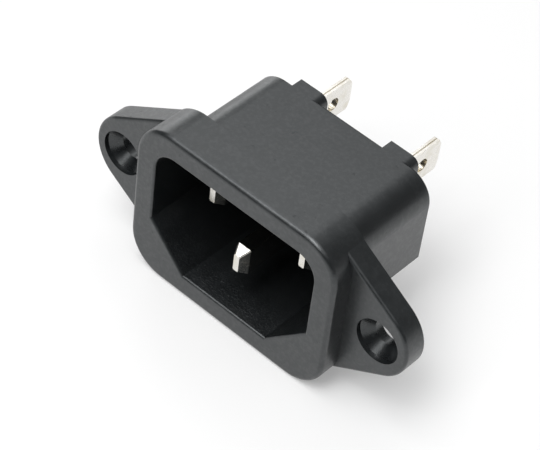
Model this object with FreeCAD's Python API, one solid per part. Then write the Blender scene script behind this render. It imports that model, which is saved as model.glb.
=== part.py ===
import FreeCAD, Part
import math
import os

# Panel-mounted appliance inlet: a moulded housing with two screw ears, a six-sided
# plug cavity that faces -Y, and three flat blades whose tails are push-on tabs.
# Frame: +X to the right seen from the front, +Y into the panel, +Z up.
# Origin: midway between the two screw holes, on the face that meets the panel.
# Sizes are in millimetres.

# --- flange, ears and screws ---
SCREW_PITCH = 40.0
SCREW_HOLE_DIA = 3.5
SCREW_HEAD_DIA = 5.95
SCREW_HEAD_ANGLE = 90.0
SCREW_HEAD_SINK = 0.65
EAR_RADIUS = 5.5
EAR_END_PITCH = 37.5
EAR_ROOT_RADIUS = 4.9
FLANGE_THICKNESS = 3.0
EAR_EDGE_RADIUS = 0.4

# --- how far the rim, body, cavity and blades are centred below the screws ---
MOULDING_DROP = 0.25

# --- rim that stands in front of the flange ---
RIM_WIDTH = 30.5
RIM_HEIGHT = 22.9
RIM_CORNER_RADIUS = 5.1
RIM_PROJECTION = 2.85
RIM_EDGE_RADIUS = 0.6

# --- body behind the panel ---
BODY_WIDTH = 26.6
BODY_HEIGHT = 18.6
BODY_DEPTH = 13.2
BODY_TOP_RADIUS = 3.7
BODY_CORNER_BEVEL = 6.45
BODY_EDGE_RADIUS = 0.3

# --- plug cavity ---
CAVITY_WIDTH = 24.4
CAVITY_HEIGHT = 16.8
CAVITY_CORNER_BEVEL = 5.65
CAVITY_TOP_RADIUS = 2.9
CAVITY_DRAFT = 0.12
MOUTH_EDGE_RADIUS = 0.3
FLOOR_THICKNESS = 2.6

# --- terminal bosses on the rear wall ---
BOSS_WIDTH = 4.3
BOSS_SHIFT = 0.65
BOSS_DEPTH = 1.5
BOSS_CORNER_RADIUS = 1.2
BOSS_TAB_COVER = 0.75

# --- blades in the cavity ---
BLADE_PITCH = 14.0
EARTH_OFFSET = 4.0
BLADE_HEIGHT = 4.0
BLADE_THICKNESS = 2.0
BLADE_EDGE_RADIUS = 0.2
BLADE_TIP_DEPTH = 4.55
EARTH_TIP_LEAD = 3.0
TIP_TAPER_LENGTH = 1.2
TIP_THICKNESS = 0.8
TIP_HEIGHT = 2.5

# --- push-on tabs behind the bosses ---
TAB_WIDTH = 4.8
TAB_THICKNESS = 0.8
TAB_REACH = 8.0
TAB_SHIFT = 1.75
TAB_END_BEVEL_LENGTH = 0.75
TAB_END_BEVEL_WIDTH = 1.1
TAB_LEAD_LENGTH = 0.5
TAB_LEAD_DEPTH = 0.15
TAB_HOLE_DIA = 1.8
TAB_HOLE_FROM_END = 3.5
SEAM_WIDTH = 0.12
SEAM_DEPTH = 0.1

# --- places worked out from the sizes above ---
FLANGE_FRONT_Y = -FLANGE_THICKNESS
RIM_FRONT_Y = FLANGE_FRONT_Y - RIM_PROJECTION
RIM_TOP_Z = RIM_HEIGHT / 2 - MOULDING_DROP
BODY_REAR_Y = BODY_DEPTH
BOSS_REAR_Y = BODY_REAR_Y + BOSS_DEPTH
CAVITY_FLOOR_Y = BODY_REAR_Y - FLOOR_THICKNESS
TAB_END_Y = BOSS_REAR_Y + TAB_REACH
EARTH_TIP_Y = RIM_FRONT_Y + BLADE_TIP_DEPTH - EARTH_TIP_LEAD
SIDE_TIP_Y = RIM_FRONT_Y + BLADE_TIP_DEPTH

Y_AXIS = FreeCAD.Vector(0, 1, 0)

# Places closer together than this count as the same place.
SAME_PLACE = 1e-3


def point(x, y, z):
    return FreeCAD.Vector(x, y, z)


def cut_corners(corners, y):
    """Closed wire at depth y through (x, z, kind, size) corners.

    A corner of kind "round" gets an arc of that radius, and one of kind "sharp" stays.
    The corners go round once in either direction.
    """
    count = len(corners)
    starts = []
    ends = []
    middles = []
    for index in range(count):
        x, z, kind, size = corners[index]
        before = corners[index - 1]
        after = corners[(index + 1) % count]
        here = point(x, y, z)
        if kind == "sharp":
            starts.append(here)
            ends.append(here)
            middles.append(None)
            continue
        back = (point(before[0], y, before[1]) - here).normalize()
        ahead = (point(after[0], y, after[1]) - here).normalize()
        half_angle = back.getAngle(ahead) / 2
        reach = size / math.tan(half_angle)
        centre_way = (back + ahead).normalize()
        centre = here + centre_way * (size / math.sin(half_angle))
        starts.append(here + back * reach)
        ends.append(here + ahead * reach)
        middles.append(centre - centre_way * size)
    edges = []
    for index in range(count):
        if middles[index] is not None:
            edges.append(Part.Arc(starts[index], middles[index], ends[index]).toShape())
        next_start = starts[(index + 1) % count]
        if ends[index].distanceToPoint(next_start) > SAME_PLACE:
            edges.append(Part.LineSegment(ends[index], next_start).toShape())
    return Part.Wire(Part.__sortEdges__(edges))


def rounded_box_wire(width, height, radius, y, x, z):
    half_w = width / 2
    half_h = height / 2
    corners = [
        (x + half_w, z + half_h, "round", radius),
        (x - half_w, z + half_h, "round", radius),
        (x - half_w, z - half_h, "round", radius),
        (x + half_w, z - half_h, "round", radius),
    ]
    return cut_corners(corners, y)


def inlet_wire(width, height, bevel, top_radius, y):
    """Six-sided outline: rounded upper corners, lower corners bevelled at 45 degrees."""
    half_w = width / 2
    top_z = height / 2 - MOULDING_DROP
    bottom_z = top_z - height
    corners = [
        (half_w, top_z, "round", top_radius),
        (-half_w, top_z, "round", top_radius),
        (-half_w, bottom_z + bevel, "sharp", 0.0),
        (bevel - half_w, bottom_z, "sharp", 0.0),
        (half_w - bevel, bottom_z, "sharp", 0.0),
        (half_w, bottom_z + bevel, "sharp", 0.0),
    ]
    return cut_corners(corners, y)


def extrude(wire, depth):
    return Part.Face(wire).extrude(Y_AXIS * depth)


def loft(front_wire, rear_wire):
    return Part.makeLoft([front_wire, rear_wire], True, True)


def edges_at_depth(shape, y):
    """Edges that lie wholly in the plane at depth y."""
    found = []
    for edge in shape.Edges:
        box = edge.BoundBox
        if abs(box.YMin - y) < SAME_PLACE and abs(box.YMax - y) < SAME_PLACE:
            found.append(edge)
    return found


def ear_outline(side):
    """Blunt ear with straight flanks from the rim's corners to a round end.

    The flanks are tangent to the end, which is centred a little inboard of the screw hole,
    and to root circles level with the rim's upper corner, above and below the screws' line.
    """
    corner_x = RIM_WIDTH / 2 - RIM_CORNER_RADIUS
    corner_z = RIM_TOP_Z - RIM_CORNER_RADIUS
    end_x = EAR_END_PITCH / 2
    span = math.hypot(end_x - corner_x, corner_z)
    slope = math.atan2(corner_z, end_x - corner_x)
    flank = slope + math.asin((EAR_ROOT_RADIUS - EAR_RADIUS) / span)
    across = (math.sin(flank), math.cos(flank))
    inner = (corner_x + EAR_ROOT_RADIUS * across[0], corner_z + EAR_ROOT_RADIUS * across[1])
    outer = (end_x + EAR_RADIUS * across[0], EAR_RADIUS * across[1])
    y = FLANGE_FRONT_Y
    top_inner = point(side * inner[0], y, inner[1])
    top_outer = point(side * outer[0], y, outer[1])
    bottom_outer = point(side * outer[0], y, -outer[1])
    bottom_inner = point(side * inner[0], y, -inner[1])
    nose = point(side * (end_x + EAR_RADIUS), y, 0)
    return Part.Wire([
        Part.LineSegment(top_inner, top_outer).toShape(),
        Part.Arc(top_outer, nose, bottom_outer).toShape(),
        Part.LineSegment(bottom_outer, bottom_inner).toShape(),
        Part.LineSegment(bottom_inner, top_inner).toShape(),
    ])


def ear(side):
    plate = extrude(ear_outline(side), FLANGE_THICKNESS)
    root_x = min(abs(vertex.X) for vertex in plate.Vertexes)
    front_edges = []
    for edge in edges_at_depth(plate, FLANGE_FRONT_Y):
        if max(abs(vertex.X) for vertex in edge.Vertexes) > root_x + SAME_PLACE:
            front_edges.append(edge)
    return plate.makeFillet(EAR_EDGE_RADIUS, front_edges)


def rim_block():
    size = (RIM_WIDTH, RIM_HEIGHT, RIM_CORNER_RADIUS)
    block = extrude(rounded_box_wire(*size, RIM_FRONT_Y, 0, -MOULDING_DROP), -RIM_FRONT_Y)
    return block.makeFillet(RIM_EDGE_RADIUS, edges_at_depth(block, RIM_FRONT_Y))


def body_block():
    """The part that goes through the panel; it starts inside the flange."""
    wire = inlet_wire(BODY_WIDTH, BODY_HEIGHT, BODY_CORNER_BEVEL, BODY_TOP_RADIUS, FLANGE_FRONT_Y)
    block = extrude(wire, BODY_REAR_Y - FLANGE_FRONT_Y)
    return block.makeFillet(BODY_EDGE_RADIUS, edges_at_depth(block, BODY_REAR_Y))


def plug_cavity():
    """Drafted pocket from the rim's face to the floor."""
    mouth_size = (CAVITY_WIDTH, CAVITY_HEIGHT, CAVITY_CORNER_BEVEL, CAVITY_TOP_RADIUS)
    mouth = inlet_wire(*mouth_size, RIM_FRONT_Y)
    floor = inlet_wire(
        CAVITY_WIDTH - 2 * CAVITY_DRAFT,
        CAVITY_HEIGHT - 2 * CAVITY_DRAFT,
        CAVITY_CORNER_BEVEL,
        CAVITY_TOP_RADIUS - CAVITY_DRAFT,
        CAVITY_FLOOR_Y,
    )
    return loft(mouth, floor)


def mouth_edges(shape):
    """Edges where the cavity meets the rim's face."""
    found = []
    for edge in edges_at_depth(shape, RIM_FRONT_Y):
        box = edge.BoundBox
        reach_x = max(abs(box.XMin), abs(box.XMax))
        reach_z = max(abs(box.ZMin + MOULDING_DROP), abs(box.ZMax + MOULDING_DROP))
        inside_x = reach_x < CAVITY_WIDTH / 2 + SAME_PLACE
        inside_z = reach_z < CAVITY_HEIGHT / 2 + SAME_PLACE
        if inside_x and inside_z:
            found.append(edge)
    return found


def screw_hole(side):
    """Through hole with a short straight wall and a conical seat for the screw head."""
    hole_r = SCREW_HOLE_DIA / 2
    head_r = SCREW_HEAD_DIA / 2
    seat_start_y = FLANGE_FRONT_Y + SCREW_HEAD_SINK
    seat = (head_r - hole_r) / math.tan(math.radians(SCREW_HEAD_ANGLE / 2))
    profile = Part.makePolygon([
        point(0, FLANGE_FRONT_Y, 0),
        point(head_r, FLANGE_FRONT_Y, 0),
        point(head_r, seat_start_y, 0),
        point(hole_r, seat_start_y + seat, 0),
        point(hole_r, 0, 0),
        point(0, 0, 0),
        point(0, FLANGE_FRONT_Y, 0),
    ])
    tool = Part.Face(profile).revolve(point(0, 0, 0), Y_AXIS, 360)
    tool.translate(point(side * SCREW_PITCH / 2, 0, 0))
    return tool


def boss(x, up):
    """Rib on the rear wall, flush with the body's upper (up=1) or lower (up=-1) face.

    It reaches past the tab that it holds by the cover. One outer corner is rounded, and the
    rib stands off centre towards that corner.
    """
    edge_z = up * BODY_HEIGHT / 2 - MOULDING_DROP
    tab_far_z = tab_centre_z(up) - up * (TAB_WIDTH / 2 + BOSS_TAB_COVER)
    square_x = x - up * (BOSS_WIDTH / 2 - BOSS_SHIFT)
    rounded_x = x + up * (BOSS_WIDTH / 2 + BOSS_SHIFT)
    wire = cut_corners([
        (square_x, edge_z, "sharp", 0.0),
        (rounded_x, edge_z, "round", BOSS_CORNER_RADIUS),
        (rounded_x, tab_far_z, "sharp", 0.0),
        (square_x, tab_far_z, "sharp", 0.0),
    ], BODY_REAR_Y - FLOOR_THICKNESS / 2)
    return extrude(wire, BOSS_DEPTH + FLOOR_THICKNESS / 2)


def blade_centre_z(up):
    """Height of the upper (up=1) or lower (up=-1) row of blades."""
    return up * EARTH_OFFSET / 2 - MOULDING_DROP


def tab_centre_z(up):
    return blade_centre_z(up) + up * TAB_SHIFT


def blade(x, z, tip_y):
    """Flat pin with four flat facets that narrow it to a small flat tip."""
    shoulder_y = tip_y + TIP_TAPER_LENGTH
    tip = rounded_box_wire(TIP_THICKNESS, TIP_HEIGHT, BLADE_EDGE_RADIUS, tip_y, x, z)
    full = rounded_box_wire(BLADE_THICKNESS, BLADE_HEIGHT, BLADE_EDGE_RADIUS, shoulder_y, x, z)
    taper = loft(tip, full)
    shank = extrude(full, CAVITY_FLOOR_Y + FLOOR_THICKNESS / 2 - shoulder_y)
    return taper.fuse(shank)


def tab(x, z):
    """Push-on tab of a strip folded double: bevelled end, latch hole and open seam."""
    half_w = TAB_WIDTH / 2
    half_t = TAB_THICKNESS / 2
    start_y = BODY_REAR_Y - FLOOR_THICKNESS / 2
    bevel_y = TAB_END_Y - TAB_END_BEVEL_LENGTH
    inner_w = half_w - TAB_END_BEVEL_WIDTH
    outline = Part.makePolygon([
        point(x - half_t, start_y, z - half_w),
        point(x - half_t, bevel_y, z - half_w),
        point(x - half_t, TAB_END_Y, z - inner_w),
        point(x - half_t, TAB_END_Y, z + inner_w),
        point(x - half_t, bevel_y, z + half_w),
        point(x - half_t, start_y, z + half_w),
        point(x - half_t, start_y, z - half_w),
    ])
    plate = Part.Face(outline).extrude(point(TAB_THICKNESS, 0, 0))
    hole_y = TAB_END_Y - TAB_HOLE_FROM_END
    hole_start = point(x - TAB_THICKNESS, hole_y, z)
    hole = Part.makeCylinder(TAB_HOLE_DIA / 2, 2 * TAB_THICKNESS, hole_start, point(1, 0, 0))
    plate = plate.cut(hole)
    for side in (-1, 1):
        plate = plate.cut(tab_lead(x, z, side))
    return plate.cut(tab_seam(x, z))


def tab_lead(x, z, side):
    """Wedge that thins one broad side of the tab towards its end."""
    face_x = x + side * TAB_THICKNESS / 2
    wedge = Part.makePolygon([
        point(face_x, TAB_END_Y - TAB_LEAD_LENGTH, z - TAB_WIDTH),
        point(face_x - side * TAB_LEAD_DEPTH, TAB_END_Y, z - TAB_WIDTH),
        point(face_x, TAB_END_Y, z - TAB_WIDTH),
        point(face_x, TAB_END_Y - TAB_LEAD_LENGTH, z - TAB_WIDTH),
    ])
    return Part.Face(wedge).extrude(point(0, 0, 2 * TAB_WIDTH))


def tab_seam(x, z):
    """V-shaped gap between the two plies along the tab's upper edge."""
    top_z = z + TAB_WIDTH / 2
    start_y = BOSS_REAR_Y
    groove = Part.makePolygon([
        point(x - SEAM_WIDTH / 2, start_y, top_z),
        point(x, start_y, top_z - SEAM_DEPTH),
        point(x + SEAM_WIDTH / 2, start_y, top_z),
        point(x - SEAM_WIDTH / 2, start_y, top_z),
    ])
    return Part.Face(groove).extrude(point(0, TAB_REACH, 0))


def terminal(x, up, tip_y):
    """One stamped terminal: blade in the cavity, tab behind the boss, root between."""
    pin = blade(x, blade_centre_z(up), tip_y)
    return pin.fuse(tab(x, tab_centre_z(up))).removeSplitter()


def housing(terminals):
    shape = rim_block().fuse([ear(-1), ear(1), body_block()])
    shape = shape.fuse([
        boss(-BLADE_PITCH / 2, 1),
        boss(BLADE_PITCH / 2, 1),
        boss(0, -1),
    ])
    shape = shape.removeSplitter()
    shape = shape.cut([plug_cavity(), screw_hole(-1), screw_hole(1)])
    shape = shape.makeFillet(MOUTH_EDGE_RADIUS, mouth_edges(shape))
    return shape.cut(terminals)


def save(name, shape):
    if not shape.isValid() or len(shape.Solids) != 1:
        raise ValueError(name + " is not one valid solid")
    shape.Solids[0].exportStep(os.path.join("parts", name + ".step"))
    print(name, round(shape.Volume, 3), "mm3", len(shape.Faces), "faces")


def main():
    os.makedirs("parts", exist_ok=True)
    terminals = {
        "left_terminal": terminal(-BLADE_PITCH / 2, 1, SIDE_TIP_Y),
        "right_terminal": terminal(BLADE_PITCH / 2, 1, SIDE_TIP_Y),
        "earth_terminal": terminal(0, -1, EARTH_TIP_Y),
    }
    for name, shape in terminals.items():
        save(name, shape)
    save("housing", housing(list(terminals.values())))


main()
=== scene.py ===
"""Looks of a screw-mount panel inlet: finishes, studio and camera around the fixed frame."""

import enum
import logging
import math
from dataclasses import dataclass, field
from typing import Any, Mapping, Optional, Union

import bpy
import numpy as np
from mathutils import Matrix, Vector


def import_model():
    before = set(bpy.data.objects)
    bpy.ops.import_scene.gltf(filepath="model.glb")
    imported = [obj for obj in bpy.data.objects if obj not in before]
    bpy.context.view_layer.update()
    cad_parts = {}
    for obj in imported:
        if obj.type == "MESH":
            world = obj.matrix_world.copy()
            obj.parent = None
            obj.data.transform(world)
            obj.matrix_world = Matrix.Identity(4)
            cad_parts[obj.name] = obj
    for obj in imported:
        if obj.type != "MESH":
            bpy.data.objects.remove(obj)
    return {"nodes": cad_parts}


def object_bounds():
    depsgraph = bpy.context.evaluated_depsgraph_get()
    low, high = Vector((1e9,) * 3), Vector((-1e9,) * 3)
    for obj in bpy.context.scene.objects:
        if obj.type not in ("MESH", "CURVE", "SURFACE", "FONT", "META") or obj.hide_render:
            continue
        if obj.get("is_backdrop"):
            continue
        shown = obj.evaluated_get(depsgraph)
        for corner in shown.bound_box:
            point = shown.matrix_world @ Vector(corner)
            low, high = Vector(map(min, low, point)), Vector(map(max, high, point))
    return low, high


LOG = logging.getLogger("inlet")
MM = 0.001
Rgb = tuple[float, float, float]
Rgba = tuple[float, float, float, float]
Span = tuple[float, float]
Number = Union[int, float]


# --------------------------------------------------------------------------- shader maths


class Axis(enum.Enum):
    """The coordinates of a place, by the names of the outputs that give them."""

    X = "X"
    Y = "Y"
    Z = "Z"


class Ray(enum.Enum):
    """The rays that see the studio as white, by the names of the outputs that tell them."""

    CAMERA = "Is Camera Ray"
    GLOSSY = "Is Glossy Ray"
    TRANSMISSION = "Is Transmission Ray"


class Socket:
    """One output of a node, with the operators that shader formulas need."""

    def __init__(self, graph: "Graph", out: bpy.types.NodeSocket) -> None:
        """Wraps an output socket.

        Args:
            graph: The graph that owns the node.
            out: The output socket to wrap.
        """
        self.graph = graph
        self.out = out

    def _math(self, operation: str, *values: "Operand") -> "Socket":
        """Adds one Math node fed with the given operands."""
        inputs = dict(enumerate(values))
        return self.graph.node("ShaderNodeMath", {"operation": operation}, inputs)

    def __add__(self, other: "Operand") -> "Socket":
        """Sum of two values."""
        return self._math("ADD", self, other)

    def __radd__(self, other: "Operand") -> "Socket":
        """Sum with a plain number on the left."""
        return self._math("ADD", other, self)

    def __sub__(self, other: "Operand") -> "Socket":
        """Difference of two values."""
        return self._math("SUBTRACT", self, other)

    def __rsub__(self, other: "Operand") -> "Socket":
        """Difference with a plain number on the left."""
        return self._math("SUBTRACT", other, self)

    def __mul__(self, other: "Operand") -> "Socket":
        """Product of two values."""
        return self._math("MULTIPLY", self, other)

    def __rmul__(self, other: "Operand") -> "Socket":
        """Product with a plain number on the left."""
        return self._math("MULTIPLY", other, self)

    def __abs__(self) -> "Socket":
        """Size of the value without its sign."""
        return self._math("ABSOLUTE", self)

    def clamp(self) -> "Socket":
        """The value held between 0 and 1."""
        settings = {"operation": "ADD", "use_clamp": True}
        return self.graph.node("ShaderNodeMath", settings, {0: self, 1: 0.0})

    def smooth(self, low: float, high: float) -> "Socket":
        """Smooth step of the value.

        Args:
            low: Value at which the step starts, where the result is 0.
            high: Value at which it ends, where the result is 1.

        Returns:
            A value from 0 to 1.
        """
        inputs = {"Value": self, "From Min": low, "From Max": high, "To Min": 0.0, "To Max": 1.0}
        settings = {"interpolation_type": "SMOOTHSTEP"}
        return self.graph.node("ShaderNodeMapRange", settings, inputs)


Operand = Union[Socket, Number]


class Graph:
    """The node tree of one material or world, built by short expressions."""

    def __init__(self, tree: bpy.types.NodeTree) -> None:
        """Empties a node tree and keeps it for building.

        Args:
            tree: The tree of a material or of the world.
        """
        self.tree = tree
        tree.nodes.clear()

    def node(
        self,
        kind: str,
        settings: Optional[Mapping[str, Any]] = None,
        inputs: Optional[Mapping[Union[str, int], Any]] = None,
        output: Union[str, int] = 0,
    ) -> Socket:
        """Adds one node.

        Args:
            kind: The node's type.
            settings: Properties set before its sockets.
            inputs: Values or links of its sockets, by name or place.
            output: The output to return, by name or place.

        Returns:
            The chosen output.
        """
        node = self.tree.nodes.new(kind)
        for name, value in (settings or {}).items():
            setattr(node, name, value)
        for name, value in (inputs or {}).items():
            if isinstance(value, Socket):
                self.tree.links.new(value.out, node.inputs[name])
            else:
                node.inputs[name].default_value = value
        return Socket(self, node.outputs[output])

    def surface(self, kind: str, shader: Socket) -> None:
        """Ends the tree in its output node, whose type is given."""
        end = self.tree.nodes.new(kind)
        self.tree.links.new(shader.out, end.inputs["Surface"])

    def mix(self, factor: Operand, low: Union[Socket, Rgba], high: Union[Socket, Rgba]) -> Socket:
        """Blends two colours.

        A Mix node has one set of sockets for each kind of value, under the same names, so the
        colours' own are chosen by their places.

        Args:
            factor: 0 gives the first colour and 1 the second.
            low: First colour.
            high: Second colour.

        Returns:
            The blended colour.
        """
        return self.node("ShaderNodeMix", {"data_type": "RGBA"}, {0: factor, 6: low, 7: high}, 2)

    def bump(
        self, height: Socket, strength: float, distance: float, normal: Optional[Socket] = None
    ) -> Socket:
        """Turns a height into a bent normal.

        Args:
            height: The height, 0 at the surface.
            strength: Share of the bend that is kept.
            distance: What a height of 1 measures, in metres.
            normal: The normal to bend, or None for the surface's own.

        Returns:
            The bent normal.
        """
        inputs = {"Strength": strength, "Distance": distance, "Height": height}
        if normal is not None:
            inputs["Normal"] = normal
        return self.node("ShaderNodeBump", inputs=inputs)

    def place(self) -> Socket:
        """Place on the piece, in metres, in the frame's own axes."""
        return self.node("ShaderNodeTexCoord", output="Object")

    def axis(self, at: Socket, axis: Axis) -> Socket:
        """One coordinate of a place."""
        return self.node("ShaderNodeSeparateXYZ", inputs={"Vector": at}, output=axis.value)

    def seen_rays(self) -> Socket:
        """Tells the rays that the viewer sees from those that only carry light.

        Returns:
            1 for rays of the camera, of a reflection or through glass, and 0 for all others.
        """
        rays = self.node("ShaderNodeLightPath", output=Ray.CAMERA.value)
        for ray in (Ray.GLOSSY, Ray.TRANSMISSION):
            rays = rays + self.node("ShaderNodeLightPath", output=ray.value)
        return rays.clamp()


def rgba(colour: Rgb) -> Rgba:
    """The colour with full alpha added."""
    return (*colour, 1.0)


def beyond(across: Socket, along: Socket, start: float, end: float) -> Socket:
    """Smooth step of the distance d from an axis, taken on d^2 = across^2 + along^2.

    Args:
        across: Distance from the axis in one direction, in metres.
        along: Distance at right angles to the first, in metres.
        start: Distance up to which the result is 0, in metres.
        end: Distance from which it is 1, in metres.

    Returns:
        A value from 0 to 1.
    """
    return (across * across + along * along).smooth(start**2, end**2)


def new_material(name: str) -> tuple[bpy.types.Material, Graph]:
    """Makes a material with an empty graph.

    Args:
        name: The material's name.

    Returns:
        The material and its graph.
    """
    material = bpy.data.materials.new(name)
    material.use_nodes = True
    return material, Graph(material.node_tree)


# --------------------------------------------------------------------------- finishes


@dataclass(frozen=True)
class Noise:
    """One layer of cloudy noise.

    size is the width of its largest features in metres, detail the number of finer layers, and
    rough the strength of each against the one before. scale shrinks the place along each axis,
    so that the pattern runs along one of them. step is the span that is spread from 0 to 1.
    """

    size: float
    detail: float
    rough: float
    scale: Optional[tuple[float, float, float]] = None
    step: Optional[Span] = None

    def build(self, graph: Graph, at: Socket) -> Socket:
        """Adds the layer's nodes.

        Args:
            graph: The graph to build in.
            at: Place on the piece, in metres.

        Returns:
            A value from 0 to 1.
        """
        if self.scale is not None:
            at = graph.node("ShaderNodeMapping", inputs={"Vector": at, "Scale": self.scale})
        inputs = {
            "Vector": at,
            "Scale": 1.0 / self.size,
            "Detail": self.detail,
            "Roughness": self.rough,
        }
        value = graph.node("ShaderNodeTexNoise", {"noise_dimensions": "3D"}, inputs)
        return value if self.step is None else value.smooth(*self.step)


@dataclass(frozen=True)
class CavityZone:
    """The space of the plug cavity, whose walls get a moulded grain of their own and painted shade.

    Its lengths are in metres. gap keeps the zone's edges off the walls. lip is the span behind
    the mouth over which the zone begins, dark the span over which painted shade darkens its
    walls, and lower the span under the middle over which the lower wall's texture fades in,
    downwards.
    """

    mouth: float = -5.85 * MM
    floor: float = 10.6 * MM
    half_width: float = 12.2 * MM
    half_height: float = 8.4 * MM
    middle: float = -0.25 * MM
    bevel_sum: float = 14.95 * MM
    gap: float = 0.4 * MM
    lip: Span = (0.15 * MM, 0.35 * MM)
    dark: Span = (2.0 * MM, 7.0 * MM)
    lower: Span = (2.0 * MM, 6.5 * MM)

    def _past(self, value: Socket, wall: float) -> Socket:
        """0 up to one gap past a wall and 1 from two gaps past it."""
        return value.smooth(wall + self.gap, wall + 2.0 * self.gap)

    def inside(self, graph: Graph, at: Socket) -> Socket:
        """1 on the cavity's walls and 0 on every outer face.

        With u = |x| and v = z - middle, a point is inside where mouth < y < floor, u is under
        the half width, |v| is under the half height, and u - v is under the bevels' sum.

        Args:
            graph: The graph to build in.
            at: Place on the piece, in metres.

        Returns:
            A value from 0 to 1.
        """
        u = abs(graph.axis(at, Axis.X))
        v = graph.axis(at, Axis.Z) - self.middle
        wide = self._past(u, self.half_width)
        tall = self._past(abs(v), self.half_height)
        slant = self._past(u - v, self.bevel_sum)
        back = self._past(graph.axis(at, Axis.Y), self.floor)
        front = self.behind_mouth(graph, at, self.lip)
        return front * (1.0 - wide) * (1.0 - tall) * (1.0 - slant) * (1.0 - back)

    def low(self, graph: Graph, at: Socket) -> Socket:
        """1 near the cavity's lower wall and 0 in its upper half.

        Args:
            graph: The graph to build in.
            at: Place on the piece, in metres.

        Returns:
            A value from 0 to 1.
        """
        near, far = self.lower
        return 1.0 - graph.axis(at, Axis.Z).smooth(self.middle - far, self.middle - near)

    def behind_mouth(self, graph: Graph, at: Socket, span: Span) -> Socket:
        """Smooth step of the distance behind the mouth, over a span of it in metres."""
        return graph.axis(at, Axis.Y).smooth(self.mouth + span[0], self.mouth + span[1])


@dataclass(frozen=True)
class ScrewSeats:
    """The two countersunk seats, formed by polished pins in the mould."""

    from_middle: float = 20.0 * MM
    radius: float = 2.95 * MM
    edge: float = 0.08 * MM

    def inside(self, graph: Graph, at: Socket) -> Socket:
        """1 on the walls of both seats, round the screws' axes, and 0 past their edges.

        Args:
            graph: The graph to build in.
            at: Place on the piece, in metres.

        Returns:
            A value from 0 to 1.
        """
        across = abs(graph.axis(at, Axis.X)) - self.from_middle
        up = graph.axis(at, Axis.Z)
        return 1.0 - beyond(across, up, self.radius, self.radius + self.edge)


@dataclass(frozen=True)
class MouldedPlastic:
    """Black satin plastic from a fine spark-eroded mould.

    The rough_ values add to the roughness, and rough_seats takes from it. The film_ values
    are shares of the full film on the outer faces, except film_coarse, which is the film on
    the cavity's coarse texture. The relief_ values are heights against the grain's own, which
    relief_cavity raises inside the cavity.
    """

    base: Rgb = (0.0066, 0.0077, 0.0084)
    pale: Rgb = (0.0098, 0.0113, 0.0123)
    # painted shade: the darker colour that the cavity's walls are given deep behind the mouth
    painted_cavity_shade: Rgb = (0.0065, 0.0074, 0.0080)
    sheen: Rgb = (0.94, 0.982, 1.0)
    ior: float = 1.65
    coat_ior: float = 1.6
    coat_rough: float = 0.38
    cloud: Noise = Noise(2.2 * MM, 4.0, 0.6)
    smear: Noise = Noise(1.1 * MM, 3.0, 0.5, scale=(1.0, 0.35, 1.0))
    grain: Noise = Noise(0.17 * MM, 2.0, 0.5)
    specks: Noise = Noise(0.55 * MM, 1.0, 0.5, step=(0.72, 0.79))
    sinks: Noise = Noise(3.5 * MM, 1.0, 0.4)
    mottle: Noise = Noise(0.5 * MM, 3.0, 0.6, step=(0.42, 0.68))
    coarse: Noise = Noise(0.3 * MM, 2.0, 0.6, step=(0.45, 0.68))
    cloud_share: float = 0.7
    tone_step: Span = (0.35, 0.7)
    rough: float = 0.31
    rough_tone: float = 0.06
    rough_grain: float = 0.06
    rough_specks: float = 0.2
    rough_seats: float = 0.08
    film: float = 0.36
    film_least: float = 0.1
    film_tone: float = 0.3
    film_mottle: float = 0.5
    film_coarse: float = 0.6
    relief_cavity: float = 2.0
    relief_coarse: float = 3.0
    relief_specks: float = 1.5
    bump_strength: float = 0.5
    grain_height: float = 0.012 * MM
    sink_height: float = 0.03 * MM
    zone: CavityZone = field(default_factory=CavityZone)
    seats: ScrewSeats = field(default_factory=ScrewSeats)

    def material(self) -> bpy.types.Material:
        """Builds the plastic: cloudy tone and film, slow sinks in the walls and a fine grain.

        The cavity's walls get painted shade that darkens with depth. They are grainier near the
        mouth, as the mould insert that formed them was eroded more coarsely than the outer mould.

        Returns:
            The finished material.
        """
        material, graph = new_material("moulded_plastic")
        at = graph.place()
        inside = self.zone.inside(graph, at)
        # painted shade mask: grows from 0 to 1 with depth inside the cavity
        painted_shade_depth = inside * self.zone.behind_mouth(graph, at, self.zone.dark)
        seat = self.seats.inside(graph, at)
        cloud, smear = self.cloud.build(graph, at), self.smear.build(graph, at)
        tone = (cloud * self.cloud_share + smear * (1.0 - self.cloud_share)).smooth(*self.tone_step)
        grain, specks = self.grain.build(graph, at), self.specks.build(graph, at)
        mottle, sinks = self.mottle.build(graph, at), self.sinks.build(graph, at)
        coarse = self.coarse.build(graph, at) * inside * (1.0 - painted_shade_depth) * self.zone.low(graph, at)

        skin = graph.mix(tone, rgba(self.base), rgba(self.pale))
        # painted shade: deep in the cavity the skin's colour is blended to a darker one
        colour = graph.mix(painted_shade_depth, skin, rgba(self.painted_cavity_shade))

        rough = self.rough + tone * self.rough_tone + grain * self.rough_grain
        rough = rough + specks * self.rough_specks - seat * self.rough_seats

        cover = (self.film_least + tone * self.film_tone + mottle * self.film_mottle).clamp()
        film = self.film * cover * (1.0 - inside) * (1.0 - seat) + coarse * self.film_coarse

        relief = grain * (1.0 + inside * self.relief_cavity) + coarse * self.relief_coarse
        relief = relief - specks * self.relief_specks
        fine = graph.bump(relief, self.bump_strength, self.grain_height)
        bumps = graph.bump(sinks, self.bump_strength, self.sink_height, fine)
        shader = graph.node(
            "ShaderNodeBsdfPrincipled",
            inputs={
                "Base Color": colour,
                "Roughness": rough,
                "IOR": self.ior,
                "Specular Tint": rgba(self.sheen),
                "Coat Weight": film,
                "Coat Roughness": self.coat_rough,
                "Coat IOR": self.coat_ior,
                "Normal": bumps,
            },
        )
        graph.surface("ShaderNodeOutputMaterial", shader)
        return material


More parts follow.
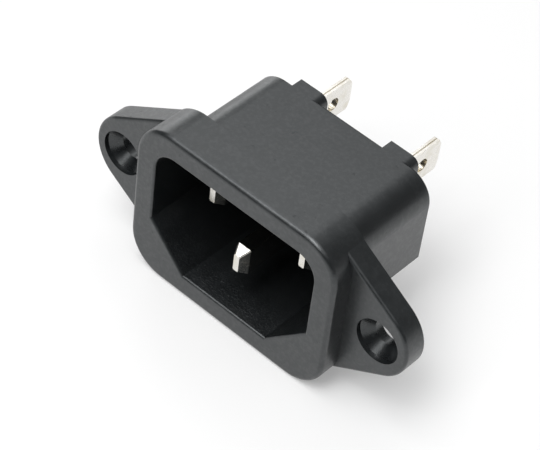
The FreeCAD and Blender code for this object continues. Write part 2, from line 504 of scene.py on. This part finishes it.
@dataclass(frozen=True)
class NickelPlate:
    """Bright nickel over stamped brass, with rolling lines and light handling marks.

    The first three lengths place the coined tip's end, the tab's middle plane and its hole.
    The strip leaves the body's rear wall at root. The thin plating in the seam is gone by the
    share bare_seam and on the hole's wall wholly, and bare is how much of the brass then shows.
    """

    coined_to: float
    side: float
    hole_height: float
    hole_depth: float = 19.2 * MM
    hole_radius: float = 0.9 * MM
    root: float = 13.2 * MM
    coined_edge: float = 0.3 * MM
    root_lead: float = 1.0 * MM
    seam_edge: Span = (0.07 * MM, 0.11 * MM)
    seam_lead: float = 0.2 * MM
    hole_edge: Span = (0.02 * MM, 0.06 * MM)
    brass: Rgb = (0.40, 0.34, 0.22)
    bright: Rgb = (0.82, 0.80, 0.755)
    warm: Rgb = (0.74, 0.705, 0.62)
    lines: Noise = Noise(0.12 * MM, 2.0, 0.6, scale=(1.0, 0.05, 1.0))
    tarnish: Noise = Noise(1.5 * MM, 4.0, 0.6, step=(0.4, 0.75))
    pits: Noise = Noise(0.30 * MM, 1.0, 0.5, step=(0.72, 0.82))
    bare: float = 0.6
    bare_seam: float = 0.7
    polished: float = 0.13
    coined: float = 0.16
    folded: float = 0.24
    rough_tarnish: float = 0.06
    rough_lines: float = 0.05
    relief_lines: float = 0.5
    bump_strength: float = 0.3
    line_height: float = 0.008 * MM

    def worn(self, graph: Graph, at: Socket) -> Socket:
        """1 where the plating is gone: in the tab's seam and on the wall of its hole.

        Args:
            graph: The graph to build in.
            at: Place on the piece, in metres.

        Returns:
            A value from 0 to 1.
        """
        y = graph.axis(at, Axis.Y)
        seam = 1.0 - abs(abs(graph.axis(at, Axis.X)) - self.side).smooth(*self.seam_edge)
        seam = seam * y.smooth(self.root, self.root + self.seam_lead)
        above = graph.axis(at, Axis.Z) - self.hole_height
        start, end = (self.hole_radius + edge for edge in self.hole_edge)
        hole = 1.0 - beyond(y - self.hole_depth, above, start, end)
        return (seam * self.bare_seam + hole).clamp()

    def material(self) -> bpy.types.Material:
        """Builds the plating: lines along the strip, cloudy tarnish and small pits.

        The coined tip and the folded tab are rougher than the drawn shank between them.

        Returns:
            The finished material.
        """
        material, graph = new_material("nickel_plate")
        at = graph.place()
        y = graph.axis(at, Axis.Y)
        drawn = y.smooth(self.coined_to, self.coined_to + self.coined_edge)
        tab = y.smooth(self.root - self.root_lead, self.root)
        lines, pits = self.lines.build(graph, at), self.pits.build(graph, at)
        tarnish = self.tarnish.build(graph, at)

        plated = graph.mix(tarnish, rgba(self.bright), rgba(self.warm))
        colour = graph.mix(self.worn(graph, at) * self.bare, plated, rgba(self.brass))

        rough = self.coined - drawn * (self.coined - self.polished)
        rough = rough + tab * (self.folded - self.polished)
        rough = rough + tarnish * self.rough_tarnish + lines * self.rough_lines

        relief = lines * self.relief_lines - pits * tab
        bumps = graph.bump(relief, self.bump_strength, self.line_height)
        shader = graph.node(
            "ShaderNodeBsdfPrincipled",
            inputs={"Base Color": colour, "Roughness": rough, "Metallic": 1.0, "Normal": bumps},
        )
        graph.surface("ShaderNodeOutputMaterial", shader)
        return material


# --------------------------------------------------------------------------- the inlet


def side_terminals() -> NickelPlate:
    """The plating of the two side terminals, which mirror each other."""
    return NickelPlate(coined_to=-0.1 * MM, side=7.0 * MM, hole_height=3.5 * MM)


def earth_terminal() -> NickelPlate:
    """The plating of the earth terminal, which reaches further forward and sits lower."""
    return NickelPlate(coined_to=-3.1 * MM, side=0.0, hole_height=-4.0 * MM)


@dataclass
class Inlet:
    """The inlet's own pieces, as the frame holds them."""

    nodes: Mapping[str, bpy.types.Object]
    plastic: MouldedPlastic = field(default_factory=MouldedPlastic)
    side_plate: NickelPlate = field(default_factory=side_terminals)
    earth_plate: NickelPlate = field(default_factory=earth_terminal)

    def dress(self) -> None:
        """Gives every node of the frame its finish."""
        side = self.side_plate.material()
        finishes = {
            "housing": self.plastic.material(),
            "left_terminal": side,
            "right_terminal": side,
            "earth_terminal": self.earth_plate.material(),
        }
        for name, node in self.nodes.items():
            for slot in node.material_slots:
                slot.material = finishes[name]
            LOG.info("dressed %s with %s", name, finishes[name].name)


# --------------------------------------------------------------------------- studio


def direction(azimuth: float, elevation: float) -> Vector:
    """Direction of a thing seen from the object.

    Args:
        azimuth: Angle from the front towards the right, in degrees.
        elevation: Angle above the level, in degrees.

    Returns:
        The unit vector.
    """
    turn, rise = math.radians(azimuth), math.radians(elevation)
    flat = math.cos(rise)
    return Vector((math.sin(turn) * flat, -math.cos(turn) * flat, math.sin(rise)))


def add_object(name: str, data: bpy.types.ID) -> bpy.types.Object:
    """Adds an object to the scene.

    Args:
        name: The object's name.
        data: Its mesh, lamp or camera.

    Returns:
        The object.
    """
    thing = bpy.data.objects.new(name, data)
    bpy.context.scene.collection.objects.link(thing)
    LOG.info("added %s", name)
    return thing


@dataclass(frozen=True)
class Softbox:
    """One round softbox, placed by its direction from the object.

    Angles are in degrees and lengths in metres. Azimuth 0 is in front of the plug mouth and 90
    to its right.
    """

    name: str
    azimuth: float
    elevation: float
    size: float
    strength: float
    distance: float = 0.6

    def build(self, aim: Vector) -> None:
        """Makes the lamp and turns it to the object.

        The power makes a white card that faces the lamp at the object as bright as the
        strength says: a lamp of power P lights a card at distance d with P / (pi d^2), and the
        card shows that over pi.

        Args:
            aim: Point that the lamp faces.
        """
        lamp = bpy.data.lights.new(self.name, "AREA")
        lamp.shape = "DISK"
        lamp.size = self.size
        lamp.energy = self.strength * (math.pi * self.distance) ** 2
        way = direction(self.azimuth, self.elevation)
        turn = (-way).to_track_quat("-Z", "Y").to_matrix().to_4x4()
        thing = add_object(self.name, lamp)
        thing.matrix_world = Matrix.Translation(aim + way * self.distance) @ turn


@dataclass
class Studio:
    """White table, dark cloth, white room, soft lamps and the camera.

    Angles are in degrees and lengths in metres, except the camera's lens and sensor, which are
    in millimetres.
    """

    low: Vector
    high: Vector
    table_reach: float = 1.5
    table_paint: Rgb = (0.91, 0.91, 0.91)
    table_glow: float = 0.3
    glow_near: float = 0.12
    glow_far: float = 0.5
    cloth_paint: Rgb = (0.02, 0.02, 0.02)
    cloth_sides: int = 96
    cloth_radius: float = 1.3
    cloth_rise: float = 46.0
    cloth_peak: float = 11.0
    cloth_peak_at: float = 150.0
    cloth_peak_width: float = 42.0
    room_light: float = 0.66
    white: Rgb = (1.0, 1.0, 1.0)
    azimuth: float = 36.939
    elevation: float = 45.628
    distance: float = 0.250307
    roll: float = 7.832
    lens: float = 144.689
    sensor: float = 36.0
    clip_start: float = 0.01
    aim: tuple[float, float, float] = (0.193 * MM, 0.906 * MM, 0.595 * MM)

    def build(self) -> None:
        """Builds the studio in order: table, dark cloth, world, lamps and camera."""
        self.table()
        self.cloth()
        self.world()
        middle = (self.low + self.high) / 2
        for box in self.lamps():
            box.build(middle)
        self.camera()

    def lamps(self) -> list[Softbox]:
        """Lists the lamps: two strong ones overhead, and four weak ones for glints and edges.

        Returns:
            The lamps.
        """
        return [
            Softbox("overhead_softbox", azimuth=325.0, elevation=74.0, size=0.40, strength=0.45),
            Softbox("front_softbox", azimuth=0.0, elevation=58.0, size=0.30, strength=0.40),
            Softbox("low_front_softbox", azimuth=353.0, elevation=36.0, size=0.22, strength=0.085),
            Softbox("back_softbox", azimuth=222.0, elevation=50.0, size=0.28, strength=0.088),
            Softbox("low_back_softbox", azimuth=235.0, elevation=13.0, size=0.28, strength=0.155),
            Softbox("right_softbox", azimuth=133.0, elevation=28.0, size=0.64, strength=0.052),
        ]

    def table(self) -> None:
        """Makes the table top, a flat square at the object's lowest level.

        To the rays that the viewer sees it is paint mixed with a white glow, whose share grows
        to 1 far from the object, so that the far table is as white as the room.
        """
        reach, level = self.table_reach, self.low.z
        signs = ((-1, -1), (1, -1), (1, 1), (-1, 1))
        corners = [(x * reach, y * reach, level) for x, y in signs]
        mesh = bpy.data.meshes.new("table_top")
        mesh.from_pydata(corners, [], [(0, 1, 2, 3)])
        table = add_object("table_top", mesh)
        material, graph = new_material("white_table")
        paint = graph.node("ShaderNodeBsdfDiffuse", inputs={"Color": rgba(self.table_paint)})
        glow_inputs = {"Color": rgba(self.white), "Strength": 1.0}
        glow = graph.node("ShaderNodeEmission", inputs=glow_inputs)
        at = graph.place()
        across, along = graph.axis(at, Axis.X), graph.axis(at, Axis.Y)
        far = beyond(across, along, self.glow_near, self.glow_far)
        share = graph.seen_rays() * (self.table_glow + far * (1.0 - self.table_glow))
        both = graph.node("ShaderNodeMixShader", inputs={0: share, 1: paint, 2: glow})
        graph.surface("ShaderNodeOutputMaterial", both)
        mesh.materials.append(material)
        table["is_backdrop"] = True

    def cloth(self) -> None:
        """Hangs dark cloth round the table, out of the camera's sight.

        The upright wall stands on a circle of radius r round the object: with azimuth
        a = 360 i / n, corner i of n is at (r sin a, -r cos a). Its top is seen from the
        object at the elevation rise + peak exp(-(d / w)^2), where d is the azimuth's distance
        from the peak's, in degrees. It keeps low reflections dark.
        """
        count = self.cloth_sides
        azimuth = np.arange(count) * 360.0 / count
        turn = np.radians(azimuth)
        away = (azimuth - self.cloth_peak_at + 180.0) % 360.0 - 180.0
        rise = self.cloth_rise + self.cloth_peak * np.exp(-((away / self.cloth_peak_width) ** 2))
        tops = self.cloth_radius * np.tan(np.radians(rise))
        circle = self.cloth_radius * np.stack([np.sin(turn), -np.cos(turn)], axis=1)
        low = np.column_stack([circle, np.full(count, self.low.z)])
        high = np.column_stack([circle, tops])
        near = np.arange(count)
        far = (near + 1) % count
        faces = np.stack([far, near, near + count, far + count], axis=1)
        mesh = bpy.data.meshes.new("dark_cloth")
        mesh.from_pydata(np.concatenate([low, high]).tolist(), [], faces.tolist())
        cloth = add_object("dark_cloth", mesh)
        cloth.visible_camera = False
        material, graph = new_material("black_cloth")
        weave = graph.node("ShaderNodeBsdfDiffuse", inputs={"Color": rgba(self.cloth_paint)})
        graph.surface("ShaderNodeOutputMaterial", weave)
        mesh.materials.append(material)
        cloth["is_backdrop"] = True

    def world(self) -> None:
        """Lights the room evenly and shows white to the rays that the viewer sees."""
        world = bpy.data.worlds.new("white_room")
        world.use_nodes = True
        bpy.context.scene.world = world
        graph = Graph(world.node_tree)
        white = rgba(self.white)
        room, seen = (
            graph.node("ShaderNodeBackground", inputs={"Color": white, "Strength": strength})
            for strength in (self.room_light, 1.0)
        )
        both = graph.node("ShaderNodeMixShader", inputs={0: graph.seen_rays(), 1: room, 2: seen})
        graph.surface("ShaderNodeOutputWorld", both)

    def camera(self) -> None:
        """Places the camera on a sphere round its aim, turned about its own axis by the roll."""
        lens = bpy.data.cameras.new("camera")
        lens.lens = self.lens
        lens.sensor_width = self.sensor
        lens.clip_start = self.clip_start
        turn = math.radians(self.azimuth)
        back = direction(self.azimuth, self.elevation)
        side = Vector((math.cos(turn), math.sin(turn), 0.0))
        axes = Matrix((side, back.cross(side), back)).transposed().to_4x4()
        spin = Matrix.Rotation(math.radians(self.roll), 4, "Z")
        place = Matrix.Translation(Vector(self.aim) + back * self.distance)
        thing = add_object("camera", lens)
        thing.matrix_world = place @ axes @ spin
        bpy.context.scene.camera = thing


def main() -> None:
    """Builds everything in order."""
    logging.basicConfig(level=logging.INFO, format="%(name)s: %(message)s")
    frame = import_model()
    low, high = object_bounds()
    Inlet(frame["nodes"]).dress()
    Studio(Vector(low), Vector(high)).build()
    bpy.context.scene.view_settings.view_transform = "Standard"


if __name__ == "__main__":
    main()
